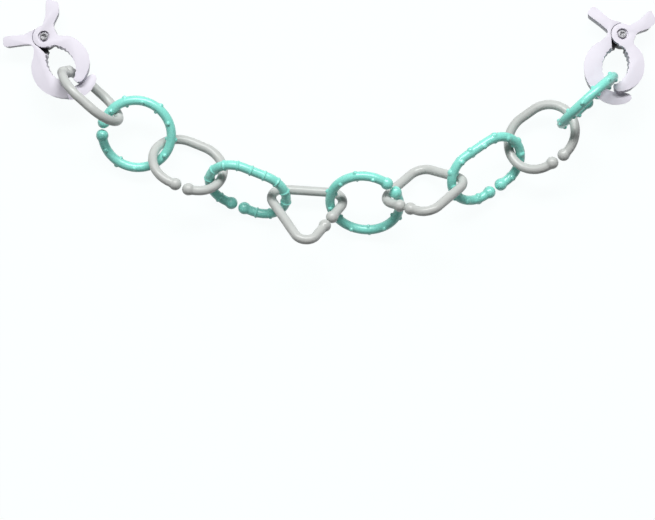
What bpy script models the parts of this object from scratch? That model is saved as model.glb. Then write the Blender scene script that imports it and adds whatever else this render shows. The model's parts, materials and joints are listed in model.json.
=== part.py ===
"""Pram chain toy: two spring clamps joined by ten loose plastic links.

The chain lies on a flat surface, drawn out between its clamps. +X runs along the chain, +Y points from
the links to the clamp handles and +Z is up. Every link is one moulded wire, bent round to a mouth between
two ball ends. The links pass through each other, so each one is placed by drawing it away from the one
before until their wires are one clearance apart. All lengths are in metres and all angles in degrees.
"""

import math

import bmesh
import bpy
import numpy as np
from mathutils import Matrix, Vector

# Links
WIRE_DIAMETER = 0.0066
BALL_DIAMETER = 0.0087
MOUTH_GAP = 0.0011
RING_DIAMETER = 0.0488
GREY_OVAL_LENGTH = 0.0506
GREY_OVAL_WIDTH = 0.0405
TEAL_OVAL_LENGTH = 0.0560
TEAL_OVAL_WIDTH = 0.0385
TRIANGLE_WIDTH = 0.0498
TRIANGLE_CORNER_RADIUS = 0.0084
SQUARE_SIDE = 0.0445
SQUARE_CORNER_RADIUS = 0.0103

# Relief on the teal links: round bumps, low domes and ribs. The step is the length of wire from one to
# the next.
BUMP_DIAMETER = 0.0031
BUMP_HEIGHT = 0.0012
BUMP_STEP = 0.01235
DOME_DIAMETER = 0.0046
DOME_HEIGHT = 0.0008
DOME_STEP = 0.0096
BUMP_SEGMENTS = 6
BUMP_RINGS = 4
RIB_HEIGHT = 0.00045
RIB_WIDTH = 0.0009
RIB_SLOPE = 0.0003
RIB_STEP = 0.0096

# How the links lie
LINK_CLEARANCE = 0.0005
SWING_CLEARANCE = 0.0002
LEAST_REACH = 0.020
MOST_REACH = 0.075
REACH_STEP = 0.0006
REACH_TOLERANCE = 0.00001

# Clamp, seen in its own frame: pivot at the origin, handles up (+Y), jaws down (-Y), thickness along +Z
CLAMP_THICKNESS = 0.0110
LAP_CLEARANCE = 0.0005
PIVOT_DISC_RADIUS = 0.0078
DISC_CLEARANCE = 0.0005
HOLE_WIDTH = 0.0192
HOLE_LENGTH = 0.0290
HOLE_CENTRE = (0.0001, -0.0233)
TOOTH_HEIGHT = 0.0007
TOOTH_COUNT = 8
TOOTH_SPAN = 62.0
JAW_CENTRE = (0.0, -0.0269)

# Jaw outlines: distance from the middle of the jaws by direction. The front jaw's tip is below the +X axis
FRONT_JAW = ((-68, 0.0163), (-57, 0.0168), (-44, 0.0174), (-31, 0.0183), (-18, 0.0193), (-6, 0.0200),
             (7, 0.0206), (20, 0.0212), (32, 0.0220), (43, 0.0228), (53, 0.0232), (60, 0.0230))
BACK_JAW = ((127, 0.0227), (136, 0.0227), (146, 0.0226), (156, 0.0224), (168, 0.0221), (180, 0.0219),
            (192, 0.0217), (205, 0.0215), (218, 0.0214), (231, 0.0215), (243, 0.0218), (255, 0.0226),
            (267, 0.0234), (279, 0.0240), (291, 0.0243), (303, 0.0243), (311, 0.0238), (316, 0.0227))
BACK_TONGUE = ((318, 0.0210), (316.5, 0.0190), (311, 0.0173), (300, 0.0160), (285, 0.0149), (268, 0.0140),
               (250, 0.0135))

# Other corners of the two outlines, anticlockwise, each with the radius it is rounded to
FRONT_HANDLE = (((0.0085, -0.0026), 0.0025), ((0.0099, 0.0037), 0.0050), ((0.0178, 0.0089), 0.0050),
                ((0.0214, 0.0150), 0.0030), ((0.0155, 0.0230), 0.0026), ((0.0086, 0.0120), 0.0120),
                ((0.0032, 0.0072), 0.0020))
FRONT_ROOT = (((-0.0010, 0.0030), 0.0), ((-0.0006, -0.0200), 0.0), ((0.0008, -0.0340), 0.0),
              ((0.0031, -0.0412), 0.0012))
FRONT_NOTCH = ((0.0094, -0.0054), 0.0012)
BACK_HANDLE = (((-0.0024, 0.0080), 0.0010), ((-0.0110, 0.0086), 0.0060), ((-0.0194, 0.0130), 0.0080),
               ((-0.0244, 0.0156), 0.0032), ((-0.0281, 0.0087), 0.0036), ((-0.0228, 0.0062), 0.0060),
               ((-0.0162, 0.0032), 0.0080), ((-0.0108, 0.0002), 0.0020), ((-0.0102, -0.0036), 0.0014))
BACK_ROOT = (((-0.0026, -0.0300), 0.0), ((-0.0026, -0.0030), 0.0))
CORNER_POINTS = 5
EDGE_SHARE = 0.48

# What each half leaves free for the other, in its own layer of the lap
WEDGE = ((-0.0080, -0.0012), (-0.0050, -0.0125), (0.0100, -0.0125), (0.0060, 0.0))
FRONT_LOWER_CUT = ((-0.0040, -0.0140), (0.0036, -0.0140), (0.0036, -0.0030), (-0.0040, 0.0))
FRONT_STEP = (-96.0, -36.0)
BACK_STEP = (-112.0, -22.0)
STEP_REACH = 0.030
STEP_INNER = 0.004

# Pivot of a clamp
SCREW_DIAMETER = 0.0030
SCREW_HEAD_DIAMETER = 0.0057
SCREW_HEAD_HEIGHT = 0.0013
SCREW_SEAT_GAP = 0.0003
SCREW_RECESS_LENGTH = 0.0036
SCREW_RECESS_WIDTH = 0.0009
SCREW_RECESS_DEPTH = 0.0006
COUNTERBORE_DIAMETER = 0.0082
COUNTERBORE_DEPTH = 0.0019
BORE_CLEARANCE = 0.0003
NUT_WIDTH = 0.0055
NUT_THICKNESS = 0.0017
NUT_CLEARANCE = 0.0003
SPRING_WIRE_DIAMETER = 0.0009
SPRING_DIAMETER = 0.0084
SPRING_PITCH = 0.00135
SPRING_TURNS = 2.5
SPRING_LEG_LENGTH = 0.0046
SPRING_POCKET_DIAMETER = 0.0112
SPRING_POCKET_HEIGHT = 0.0050
SPRING_SLOT_WIDTH = 0.0017
SPRING_SLOT_REACH = 0.0069
SPRING_POINTS_PER_TURN = 10

# How finely curves are drawn
OUTLINE_SAMPLES = 720
BEAD_STEP = 4
ARC_STEP = 15.0
STRAIGHT_STEP = 0.030
WIRE_BEVEL_RESOLUTION = 2
SPRING_BEVEL_RESOLUTION = 1
ROUND_SIDES = 32
BORE_SIDES = 20
OVERRUN = 0.001
WELD_DISTANCE = 0.000001

# Where a ball end's stations stand, counted from its pole as shares of its radius
BALL_STATION_SHARES = (0.04, 0.22, 0.55, 1.0, 1.4)

COLOURS = {
    "teal_plastic": (0.29, 0.76, 0.66, 1.0),
    "grey_plastic": (0.66, 0.69, 0.67, 1.0),
    "lilac_plastic": (0.80, 0.77, 0.86, 1.0),
    "steel": (0.60, 0.60, 0.62, 1.0),
}
ROUGHNESS = {"teal_plastic": 0.35, "grey_plastic": 0.35, "lilac_plastic": 0.45, "steel": 0.30}

# Each link: its outline, relief and material, and how it lies. heading is its long axis in plan, turn is its
# own turn in its plane, roll raises its +Y side, pitch raises its +X end, mouth is where its mouth faces in
# its own plane, lift is how far its lowest point is held above the surface, bearing is the direction in plan
# from the middle of the piece before it, and swing is how far it swings either way there.
LINKS = (
    dict(name="link_1_grey_oval", outline="grey_oval", relief=None, material="grey_plastic",
         heading=-42.0, turn=0.0, roll=-73.0, pitch=0.0, mouth=172.0, lift=0.0,
         bearing=-51.5, swing=(-4.0, 8.0)),
    dict(name="link_2_bumped_ring", outline="ring", relief="bumps", material="teal_plastic",
         heading=-42.0, turn=0.0, roll=17.0, pitch=-7.0, mouth=215.0, lift=0.0025,
         bearing=-39.3, swing=(-9.0, 9.0)),
    dict(name="link_3_grey_oval", outline="grey_oval", relief=None, material="grey_plastic",
         heading=-20.5, turn=-2.0, roll=-39.0, pitch=2.0, mouth=-82.0, lift=0.0,
         bearing=-31.2, swing=(-9.0, 9.0)),
    dict(name="link_4_ribbed_oval", outline="teal_oval", relief="ribs", material="teal_plastic",
         heading=-24.5, turn=4.5, roll=47.5, pitch=-7.0, mouth=-95.0, lift=0.0,
         bearing=-22.3, swing=(-9.0, 9.0)),
    dict(name="link_5_grey_triangle", outline="triangle", relief=None, material="grey_plastic",
         heading=-3.0, turn=-1.0, roll=-41.0, pitch=-2.5, mouth=-30.0, lift=0.006,
         bearing=-19.3, swing=(-9.0, 8.0)),
    dict(name="link_6_bumped_ring", outline="ring", relief="bumps", material="teal_plastic",
         heading=-6.0, turn=0.0, roll=41.0, pitch=2.5, mouth=42.5, lift=0.0005,
         bearing=7.0, swing=(-9.0, 9.0)),
    dict(name="link_7_grey_square", outline="square", relief=None, material="grey_plastic",
         heading=16.5, turn=-7.0, roll=-57.5, pitch=-4.0, mouth=-135.0, lift=0.0,
         bearing=11.8, swing=(-9.0, 9.0)),
    dict(name="link_8_domed_oval", outline="teal_oval", relief="domes", material="teal_plastic",
         heading=36.0, turn=-2.0, roll=39.0, pitch=-8.0, mouth=-91.0, lift=0.0,
         bearing=19.6, swing=(-9.0, 9.0)),
    dict(name="link_9_grey_oval", outline="grey_oval", relief=None, material="grey_plastic",
         heading=31.0, turn=4.5, roll=-20.0, pitch=12.0, mouth=-86.0, lift=0.0048,
         bearing=29.6, swing=(-9.0, 7.0)),
    dict(name="link_10_bumped_ring", outline="ring", relief="bumps", material="teal_plastic",
         heading=42.0, turn=-4.5, roll=87.0, pitch=-4.0, mouth=-70.0, lift=0.0,
         bearing=38.7, swing=(-9.0, 9.0)),
)

# Each clamp: its turn in plan, the tilt that raises its jaws and where round its jaws its link hangs
LEFT_CLAMP = dict(name="left_clamp", turn=32.0, tilt=13.0, grip=-65.0)
RIGHT_CLAMP = dict(name="right_clamp", turn=-13.4, tilt=17.0, grip=-104.0, bearing=61.0, swing=(-5.0, 5.0))


def cos(angle):
    return math.cos(math.radians(angle))


def sin(angle):
    return math.sin(math.radians(angle))


def polar(centre, angle, radius):
    return (centre[0] + radius * cos(angle), centre[1] + radius * sin(angle))


# Outlines of the links, as closed rows of points round the middle of the wire

def even_samples(points):
    """The closed line through points, cut into OUTLINE_SAMPLES equal steps."""
    closed = np.vstack([points, points[:1]])
    lengths = np.concatenate([[0.0], np.cumsum(np.linalg.norm(np.diff(closed, axis=0), axis=1))])
    stations = np.linspace(0.0, lengths[-1], OUTLINE_SAMPLES, endpoint=False)
    return np.column_stack([np.interp(stations, lengths, closed[:, k]) for k in (0, 1)])


def hull_of_arcs(centres, radius):
    """Outline of equal corner arcs round centres, which run anticlockwise, joined by straight sides."""
    points = []
    count = len(centres)
    for i, centre in enumerate(centres):
        before = np.subtract(centre, centres[i - 1])
        after = np.subtract(centres[(i + 1) % count], centre)
        first = math.degrees(math.atan2(before[1], before[0])) - 90
        last = math.degrees(math.atan2(after[1], after[0])) - 90
        while last < first:
            last += 360
        points += [polar(centre, angle, radius) for angle in np.linspace(first, last, OUTLINE_SAMPLES // 4)]
    return even_samples(np.array(points))


def ring_outline():
    angles = np.linspace(0, 360, OUTLINE_SAMPLES, endpoint=False)
    return np.array([polar((0.0, 0.0), angle, RING_DIAMETER / 2) for angle in angles])


def oval_outline(length, width):
    """Two half circles joined by straight sides."""
    reach = (length - width) / 2
    return hull_of_arcs([(-reach, 0.0), (reach, 0.0)], width / 2)


def triangle_outline():
    """Equal sides and round corners, one side up and one corner down."""
    half = TRIANGLE_WIDTH / 2 - TRIANGLE_CORNER_RADIUS
    height = half * math.sqrt(3)
    centres = [(-half, height / 3), (0.0, -height * 2 / 3), (half, height / 3)]
    return hull_of_arcs(centres, TRIANGLE_CORNER_RADIUS)


def square_outline():
    """Round corners, one of them at each end of the X axis."""
    reach = (SQUARE_SIDE / 2 - SQUARE_CORNER_RADIUS) * math.sqrt(2)
    return hull_of_arcs([(-reach, 0.0), (0.0, -reach), (reach, 0.0), (0.0, reach)], SQUARE_CORNER_RADIUS)


def link_outline(kind):
    if kind == "ring":
        return ring_outline()
    if kind == "grey_oval":
        return oval_outline(GREY_OVAL_LENGTH, GREY_OVAL_WIDTH)
    if kind == "teal_oval":
        return oval_outline(TEAL_OVAL_LENGTH, TEAL_OVAL_WIDTH)
    if kind == "triangle":
        return triangle_outline()
    return square_outline()


class Wire:
    """The middle line of one link in its own plane, measured by arc length from the middle of its mouth."""

    def __init__(self, link):
        points = link_outline(link["outline"])
        facing = np.array([cos(link["mouth"]), sin(link["mouth"])])
        toward = points @ facing
        across = points @ np.array([-facing[1], facing[0]])
        start = int(np.argmin(np.where(toward > 0, np.abs(across), np.inf)))
        self.points = np.vstack([np.roll(points, -start, axis=0), points[start]])
        self.steps = np.linalg.norm(np.diff(self.points, axis=0), axis=1)
        self.lengths = np.concatenate([[0.0], np.cumsum(self.steps)])
        self.length = self.lengths[-1]

    def point(self, s):
        return np.array([np.interp(s % self.length, self.lengths, self.points[:, k]) for k in (0, 1)])

    def outward(self, s):
        """Direction in the link's plane, away from its middle and square to the wire, at arc length s."""
        forward = self.point(s + self.steps[0]) - self.point(s - self.steps[0])
        outward = np.array([forward[1], -forward[0]]) / np.linalg.norm(forward)
        return outward if outward @ self.point(s) > 0 else -outward

    def even_stations(self, first, last):
        """Arc lengths from first to last, a station for every ARC_STEP of bend or STRAIGHT_STEP of length."""
        sides = np.diff(self.points, axis=0)
        directions = np.unwrap(np.arctan2(sides[:, 1], sides[:, 0]))
        bends = np.abs(np.diff(directions, append=directions[-1]))
        needed = np.cumsum(bends / math.radians(ARC_STEP) + self.steps / STRAIGHT_STEP)
        weights = np.concatenate([[0.0], needed])
        low, high = np.interp([first, last], self.lengths, weights)
        return np.interp(np.linspace(low, high, math.ceil(high - low) + 1), weights, self.lengths)


def ball_stations():
    """Arc length from the ball's pole, and radius, of each station of a ball end and of the wire's start."""
    ball, wire = BALL_DIAMETER / 2, WIRE_DIAMETER / 2
    stations = [(share * ball, ball * math.sqrt(1 - (1 - share) ** 2)) for share in BALL_STATION_SHARES]
    stations.append((ball + math.sqrt(ball**2 - wire**2), wire))
    return stations


def spread_along(wire, step):
    """Arc lengths of places about one step apart, spread evenly between the two balls."""
    first = MOUTH_GAP / 2 + BALL_DIAMETER
    run = wire.length - 2 * first
    count = round(run / step)
    return [first + run * (i + 0.5) / count for i in range(count)]


def wire_stations(wire, relief):
    """Every station of the tube, as (arc length, radius), from one ball's pole to the other's."""
    radius = WIRE_DIAMETER / 2
    ball = ball_stations()
    pole = MOUTH_GAP / 2
    stations = [(pole + s, r) for s, r in ball] + [(wire.length - pole - s, r) for s, r in ball]
    if relief == "ribs":
        for middle in spread_along(wire, RIB_STEP):
            for side in (-1, 1):
                stations.append((middle + side * (RIB_WIDTH / 2 + RIB_SLOPE), radius))
                stations.append((middle + side * RIB_WIDTH / 2, radius + RIB_HEIGHT))
    taken = np.array([s for s, r in stations])
    plain = wire.even_stations(pole + ball[-1][0], wire.length - pole - ball[-1][0])[1:-1]
    stations += [(s, radius) for s in plain if np.abs(taken - s).min() > radius / 2]
    return sorted(stations)


def bump_places(link):
    """Middle of every bump's ball, in the link's own frame. Pairs lie across its plane and in it in turn."""
    if link["relief"] == "bumps":
        step, sink = BUMP_STEP, WIRE_DIAMETER / 2 + BUMP_HEIGHT - BUMP_DIAMETER / 2
    else:
        step, sink = DOME_STEP, WIRE_DIAMETER / 2 + DOME_HEIGHT - DOME_DIAMETER / 2
    wire = Wire(link)
    middles = spread_along(wire, step)
    places = []
    for i, s in enumerate(middles):
        x, y = wire.point(s)
        outward = wire.outward(s)
        for side in (-sink, sink):
            if (i - len(middles) // 2) % 2:
                places.append((x, y, side))
            else:
                places.append((x + side * outward[0], y + side * outward[1], 0.0))
    return places


# How the pieces lie

def link_rotation(link):
    """Turn in its own plane, then roll, pitch and heading."""
    return (Matrix.Rotation(math.radians(link["heading"]), 3, "Z")
            @ Matrix.Rotation(math.radians(-link["pitch"]), 3, "Y")
            @ Matrix.Rotation(math.radians(link["roll"]), 3, "X")
            @ Matrix.Rotation(math.radians(link["turn"]), 3, "Z"))


def clamp_rotation(clamp):
    return (Matrix.Rotation(math.radians(clamp["turn"]), 3, "Z")
            @ Matrix.Rotation(math.radians(-clamp["tilt"]), 3, "X"))


class Link:
    """A link where it lies, filled with balls, or beads, that stand for it while it is placed."""

    def __init__(self, spec):
        self.spec = spec
        self.middle = np.zeros(2)
        self.rotation = link_rotation(spec)
        wire = Wire(spec)
        extra = RIB_HEIGHT if spec["relief"] == "ribs" else 0.0
        beads = [(*point, 0.0, WIRE_DIAMETER / 2 + extra) for point in wire.points[:-1:BEAD_STEP]]
        self.line_count = len(beads)
        from_mouth = MOUTH_GAP / 2 + BALL_DIAMETER / 2
        beads += [(*wire.point(s), 0.0, BALL_DIAMETER / 2) for s in (from_mouth, wire.length - from_mouth)]
        if spec["relief"] == "bumps":
            beads += [(*place, BUMP_DIAMETER / 2) for place in bump_places(spec)]
        if spec["relief"] == "domes":
            beads += [(*place, DOME_DIAMETER / 2) for place in bump_places(spec)]
        self.beads = np.array(beads)
        self.beads[:, :3] = self.beads[:, :3] @ np.array(self.rotation).T
        self.height = spec["lift"] - (self.beads[:, 2] - self.beads[:, 3]).min()
        self.beads[:, 2] += self.height

    def placed(self, middle, hinge=(0.0, 0.0), swing=0.0):
        """Its beads with its middle there, swung about the upright axis through hinge."""
        beads = self.beads.copy()
        turn = np.array([[cos(swing), -sin(swing)], [sin(swing), cos(swing)]])
        beads[:, :2] = (beads[:, :2] + middle - hinge) @ turn.T + hinge
        return beads

    def line(self, middle):
        return self.placed(middle)[:self.line_count, :3]

    def end_toward(self, direction):
        """Point of its line that reaches furthest along a direction in plan, from its middle."""
        line = self.beads[:self.line_count, :2]
        return line[int(np.argmax(line @ direction))]


class Clamp:
    """A clamp where it lies. Its handles rest on the surface and its jaws are raised."""

    def __init__(self, spec):
        self.spec = spec
        self.middle = np.zeros(2)
        self.rotation = clamp_rotation(spec)
        corners = [self.rotation @ Vector((x, y, 0.0)) for x, y in front_outline() + back_outline()]
        self.height = -min(corner.z for corner in corners)

    def world(self, points, middle):
        return points @ np.array(self.rotation).T + np.array([middle[0], middle[1], self.height])

    def line(self, middle):
        """Loop through the middle of the jaws."""
        radius = (HOLE_WIDTH / 2 + BACK_JAW[0][1]) / 2
        loop = [(*polar(JAW_CENTRE, angle, radius), CLAMP_THICKNESS / 2) for angle in range(0, 360, 3)]
        return self.world(np.array(loop), middle)

    def end_toward(self, direction):
        """Middle of the jaws' wall where the link hangs, from the clamp's middle."""
        radius = (polar_radius(BACK_JAW, self.spec["grip"] % 360) + HOLE_LENGTH / 2) / 2
        place = np.array([[*polar(JAW_CENTRE, self.spec["grip"], radius), CLAMP_THICKNESS / 2]])
        return self.world(place, np.zeros(2))[0, :2]

    def gap_to(self, beads, middle):
        """Least gap between the closed jaws with the clamp's middle there and a link's beads."""
        local = beads[:, :3] - np.array([middle[0], middle[1], self.height])
        local = local @ np.array(self.rotation)
        x, y = local[:, 0] - JAW_CENTRE[0], local[:, 1] - JAW_CENTRE[1]
        angles = np.degrees(np.arctan2(y, x)) % 360
        outer = np.interp(angles, *jaw_envelope())
        beyond = np.hypot(x, y) - outer
        x, y = local[:, 0] - HOLE_CENTRE[0], local[:, 1] - HOLE_CENTRE[1]
        half_width, half_length = HOLE_WIDTH / 2 - TOOTH_HEIGHT, HOLE_LENGTH / 2 - TOOTH_HEIGHT
        share = np.hypot(x / half_width, y / half_length)
        slope = np.maximum(np.hypot(x / half_width**2, y / half_length**2), 1.0)
        inside_hole = share * (1 - share) / slope
        in_plan = np.maximum(beyond, inside_hole)
        in_height = np.maximum(-local[:, 2], local[:, 2] - CLAMP_THICKNESS)
        apart = np.hypot(np.maximum(in_plan, 0.0), np.maximum(in_height, 0.0))
        return float((np.where(apart > 0, apart, np.maximum(in_plan, in_height)) - beads[:, 3]).min())


def polar_radius(outline, angle):
    return float(np.interp(angle, [row[0] for row in outline], [row[1] for row in outline]))


def jaw_envelope():
    """Angles from 0 to 360 and the outer radius of the closed jaws there."""
    front = [(angle % 360, radius) for angle, radius in FRONT_JAW if angle > FRONT_STEP[1]]
    rows = sorted(front + list(BACK_JAW))
    rows = [(rows[-1][0] - 360, rows[-1][1])] + rows + [(rows[0][0] + 360, rows[0][1])]
    return [row[0] for row in rows], [row[1] for row in rows]


def linking(first, second):
    """How many times two closed loops pass through each other, by Gauss's integral."""
    a, b = np.roll(first, -1, axis=0) - first, np.roll(second, -1, axis=0) - second
    between = (first + a / 2)[:, None] - (second + b / 2)[None, :]
    turns = (np.cross(a[:, None], b[None, :]) * between).sum(axis=2) / np.linalg.norm(between, axis=2) ** 3
    return round(abs(turns.sum()) / (4 * math.pi))


def gap(first, second, middle, hinge, swing):
    """Least gap between two neighbours, the second with its middle there and swung about an upright axis."""
    if isinstance(first, Clamp):
        return first.gap_to(second.placed(middle, hinge, swing), first.middle)
    if isinstance(second, Clamp):
        return second.gap_to(first.placed(first.middle, hinge, -swing), middle)
    still, moved = first.placed(first.middle), second.placed(middle, hinge, swing)
    apart = np.linalg.norm(still[:, None, :3] - moved[None, :, :3], axis=2)
    return float((apart - still[:, None, 3] - moved[None, :, 3]).min())


def draw_taut(first, second):
    """Puts second as far from first along its bearing as clearance allows. Returns their hinge in plan."""
    bearing = second.spec["bearing"]
    direction = np.array([cos(bearing), sin(bearing)])
    near_end, far_end = first.end_toward(direction), second.end_toward(-direction)
    swings = [share * limit for limit in second.spec["swing"] for share in (1.0, 0.5)]

    def hinge_at(reach):
        return first.middle + (near_end + far_end + reach * direction) / 2

    def spare(reach):
        middle = first.middle + reach * direction
        clear = gap(first, second, middle, hinge_at(reach), 0.0) - LINK_CLEARANCE
        return min([clear] + [gap(first, second, middle, hinge_at(reach), swing) - SWING_CLEARANCE
                              for swing in swings])

    def is_linked(reach):
        return linking(first.line(first.middle), second.line(first.middle + reach * direction)) == 1

    reaches = [reach for reach in np.arange(MOST_REACH, LEAST_REACH, -REACH_STEP) if is_linked(reach)]
    clear = [reach for reach in reaches if spare(reach) > 0]
    low = clear[0] if clear else max(reaches, key=spare)
    high = low + REACH_STEP
    while clear and high - low > REACH_TOLERANCE:
        half_way = (low + high) / 2
        low, high = (half_way, high) if spare(half_way) > 0 else (low, half_way)
    second.middle = first.middle + low * direction
    gaps = [gap(first, second, second.middle, hinge_at(low), swing) for swing in [0.0] + swings]
    rounded_gaps = [round(g * 1000, 2) for g in gaps]
    print(second.spec["name"], "reach mm", round(low * 1000, 2), "gaps mm", rounded_gaps)
    return hinge_at(low)


# Clamp outlines

def rounded(corners):
    """Polygon through corners, each given as (point, radius) and rounded to its radius."""
    points = []
    for i, (corner, radius) in enumerate(corners):
        if not radius:
            points.append(corner)
            continue
        corner = Vector(corner)
        back = Vector(corners[i - 1][0]) - corner
        ahead = Vector(corners[(i + 1) % len(corners)][0]) - corner
        half_angle = back.angle(ahead) / 2
        reach = min(radius / math.tan(half_angle), EDGE_SHARE * back.length, EDGE_SHARE * ahead.length)
        start, end = corner + reach * back.normalized(), corner + reach * ahead.normalized()
        for k in range(CORNER_POINTS):
            share = k / (CORNER_POINTS - 1)
            point = (1 - share) ** 2 * start + 2 * share * (1 - share) * corner + share**2 * end
            points.append((point.x, point.y))
    return points


def front_outline():
    """Front half, anticlockwise from its jaw tip: jaw, notch, handle, root."""
    jaw = [(polar(JAW_CENTRE, angle, radius), 0.0) for angle, radius in FRONT_JAW]
    return rounded(jaw + [FRONT_NOTCH] + list(FRONT_HANDLE) + list(FRONT_ROOT))


def back_outline():
    """Back half, anticlockwise from its handle: handle, jaw, tongue, root."""
    jaw = [(polar(JAW_CENTRE, angle, radius), 0.0) for angle, radius in BACK_JAW + BACK_TONGUE]
    return rounded(list(BACK_HANDLE) + jaw + list(BACK_ROOT))


def hole_outline():
    """Hole between the jaws, with teeth on both sides of it."""
    points = []
    for side in (0, 180):
        for i in range(2 * TOOTH_COUNT + 1):
            angle = side - TOOTH_SPAN + i * TOOTH_SPAN / TOOTH_COUNT
            points.append((angle, TOOTH_HEIGHT if i % 2 else 0.0))
        points += [(side + 90 + extra, 0.0) for extra in (-18, -9, 0, 9, 18)]
    return [(HOLE_CENTRE[0] + (HOLE_WIDTH / 2 - inset) * cos(angle),
             HOLE_CENTRE[1] + (HOLE_LENGTH / 2 - inset) * sin(angle)) for angle, inset in points]


def sector_outline(first, last):
    """Sector about the middle of the jaws, from one angle to another, that spans their wall."""
    outer = [polar(JAW_CENTRE, angle, STEP_REACH) for angle in np.linspace(first, last, 6)]
    return [polar(JAW_CENTRE, first, STEP_INNER)] + outer + [polar(JAW_CENTRE, last, STEP_INNER)]


# Building

def clear_scene():
    for existing in list(bpy.data.objects):
        bpy.data.objects.remove(existing, do_unlink=True)


def collection(name):
    made = bpy.data.collections.new(name)
    bpy.context.scene.collection.children.link(made)
    return made


def material(name):
    made = bpy.data.materials.new(name)
    made.use_nodes = True
    shader = made.node_tree.nodes["Principled BSDF"]
    shader.inputs["Base Color"].default_value = COLOURS[name.split("__")[0]]
    shader.inputs["Roughness"].default_value = ROUGHNESS[name.split("__")[0]]
    shader.inputs["Metallic"].default_value = 1.0 if name.startswith("steel") else 0.0
    return made


def mesh_object(name, mesh, matrix, group):
    made = bpy.data.objects.new(name, mesh)
    made.matrix_world = matrix
    group.objects.link(made)
    return made


def curve_to_mesh(name, curve, matrix, group):
    """Makes the curve a mesh with its caps welded on, and drops the curve."""
    source = bpy.data.objects.new(name + "_curve", curve)
    source.matrix_world = matrix
    group.objects.link(source)
    evaluated = source.evaluated_get(bpy.context.evaluated_depsgraph_get())
    mesh = bpy.data.meshes.new_from_object(evaluated)
    bpy.data.objects.remove(source, do_unlink=True)
    shape = bmesh.new()
    shape.from_mesh(mesh)
    bmesh.ops.remove_doubles(shape, verts=shape.verts, dist=WELD_DISTANCE)
    bmesh.ops.recalc_face_normals(shape, faces=shape.faces)
    shape.to_mesh(mesh)
    shape.free()
    return mesh_object(name, mesh, matrix, group)


def tube(name, rows, bevel_resolution, matrix, group):
    """Tube through rows of (x, y, z, radius), closed by flat caps."""
    widest = max(row[3] for row in rows)
    curve = bpy.data.curves.new(name, "CURVE")
    curve.dimensions = "3D"
    curve.bevel_depth = widest
    curve.bevel_resolution = bevel_resolution
    curve.use_fill_caps = True
    spline = curve.splines.new("POLY")
    spline.points.add(len(rows) - 1)
    for point, row in zip(spline.points, rows):
        point.co = (row[0], row[1], row[2], 1.0)
        point.radius = row[3] / widest
    return curve_to_mesh(name, curve, matrix, group)


def plate(name, outline, low, high, matrix, group):
    """Flat outline, extruded from z low to z high in the clamp's frame."""
    curve = bpy.data.curves.new(name, "CURVE")
    curve.dimensions = "2D"
    curve.fill_mode = "BOTH"
    curve.extrude = (high - low) / 2
    spline = curve.splines.new("POLY")
    spline.points.add(len(outline) - 1)
    for point, place in zip(spline.points, outline):
        point.co = (place[0], place[1], 0.0, 1.0)
    spline.use_cyclic_u = True
    raised = matrix @ Matrix.Translation((0.0, 0.0, (low + high) / 2))
    return curve_to_mesh(name, curve, raised, group)


def cylinder(name, radius, low, high, sides, matrix, group):
    """Cylinder about the clamp's pivot axis, from z low to z high."""
    shape = bmesh.new()
    bmesh.ops.create_cone(shape, cap_ends=True, segments=sides, radius1=radius, radius2=radius,
                          depth=high - low)
    mesh = bpy.data.meshes.new(name)
    shape.to_mesh(mesh)
    shape.free()
    return mesh_object(name, mesh, matrix @ Matrix.Translation((0.0, 0.0, (low + high) / 2)), group)


def combine(target, tool, operation):
    """Boolean with a tool that stays out of sight."""
    modifier = target.modifiers.new(tool.name, "BOOLEAN")
    modifier.operation = operation
    modifier.solver = "EXACT"
    modifier.object = tool
    tool.hide_render = True
    tool.display_type = "WIRE"


def finish_piece(piece, material_name):
    piece.data.materials.append(material(f"{material_name}__{piece.name}"))
    piece.data.shade_smooth()
    piece.data.set_sharp_from_angle(angle=math.radians(35))


def build_link(link, parts, cutters):
    spec = link.spec
    matrix = Matrix.Translation((link.middle[0], link.middle[1], link.height)) @ link.rotation.to_4x4()
    wire = Wire(spec)
    rows = [(*wire.point(s), 0.0, radius) for s, radius in wire_stations(wire, spec["relief"])]
    piece = tube(spec["name"], rows, WIRE_BEVEL_RESOLUTION, matrix, parts)
    if spec["relief"] in ("bumps", "domes"):
        diameter = BUMP_DIAMETER if spec["relief"] == "bumps" else DOME_DIAMETER
        shape = bmesh.new()
        for place in bump_places(spec):
            bmesh.ops.create_uvsphere(shape, u_segments=BUMP_SEGMENTS, v_segments=BUMP_RINGS,
                                      radius=diameter / 2, matrix=Matrix.Translation(place))
        mesh = bpy.data.meshes.new(spec["name"] + "_relief")
        shape.to_mesh(mesh)
        shape.free()
        combine(piece, mesh_object(mesh.name, mesh, matrix, cutters), "UNION")
    finish_piece(piece, spec["material"])
    return piece


def spring_rows():
    """The torsion spring's wire: a straight leg, the coil, and a straight leg into the other half."""
    radius = SPRING_DIAMETER / 2
    count = round(SPRING_TURNS * SPRING_POINTS_PER_TURN)
    low = CLAMP_THICKNESS / 2 - SPRING_TURNS * SPRING_PITCH / 2
    coil = []
    for i in range(count + 1):
        turn = i / SPRING_POINTS_PER_TURN
        coil.append((radius * cos(360 * turn), radius * sin(360 * turn), low + turn * SPRING_PITCH))
    first_leg = (coil[0][0], coil[0][1] - SPRING_LEG_LENGTH, coil[0][2])
    last = 360 * SPRING_TURNS
    x, y, z = coil[-1]
    last_leg = (x - SPRING_LEG_LENGTH * sin(last), y + SPRING_LEG_LENGTH * cos(last), z)
    return [(*place, SPRING_WIRE_DIAMETER / 2) for place in [first_leg] + coil + [last_leg]]


def spring_self_gap():
    """Least gap between the coil's turns, measured on its points."""
    places = np.array([row[:3] for row in spring_rows()])
    apart = np.linalg.norm(places[:, None] - places[None, :], axis=2)
    steps = np.abs(np.subtract.outer(np.arange(len(places)), np.arange(len(places))))
    return float(apart[steps > SPRING_POINTS_PER_TURN // 2].min() - SPRING_WIRE_DIAMETER)


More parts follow.
